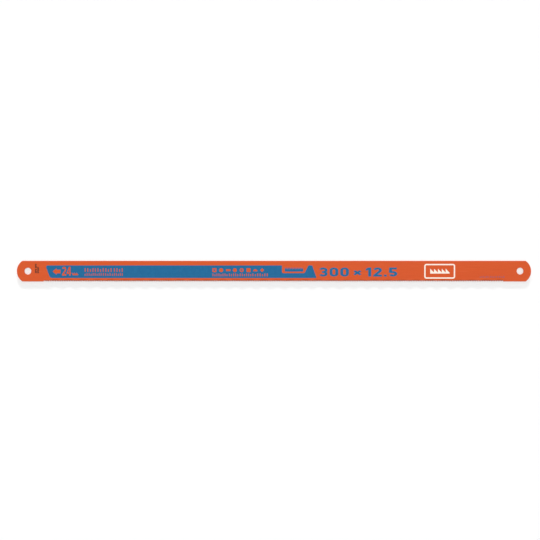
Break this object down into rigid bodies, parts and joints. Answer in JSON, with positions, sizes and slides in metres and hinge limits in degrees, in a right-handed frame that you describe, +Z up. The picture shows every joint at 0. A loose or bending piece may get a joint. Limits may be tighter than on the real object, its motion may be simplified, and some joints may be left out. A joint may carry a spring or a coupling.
{
  "type": "hacksaw blade",
  "caption": "Flat steel blade for a hand hacksaw, with rounded ends, a pin hole in each end and fine wavy-set teeth along one edge.",
  "frame": {"origin": "midway between the two pin holes and midway across the width, at the height of the lowest tooth points, on which the blade lies", "axes": "+X along the blade from the front pin hole to the rear one, so the teeth cut towards -X; +Y across it from the teeth to the back edge; +Z up through its thickness"},
  "size_m": [0.3134, 0.0126, 0.001],
  "materials": {
    "lacquered_steel": "glossy orange lacquer all over, teeth included"
  },
  "bodies": {
    "root": {"blade": "lacquered_steel"}
  },
  "joints": []
}
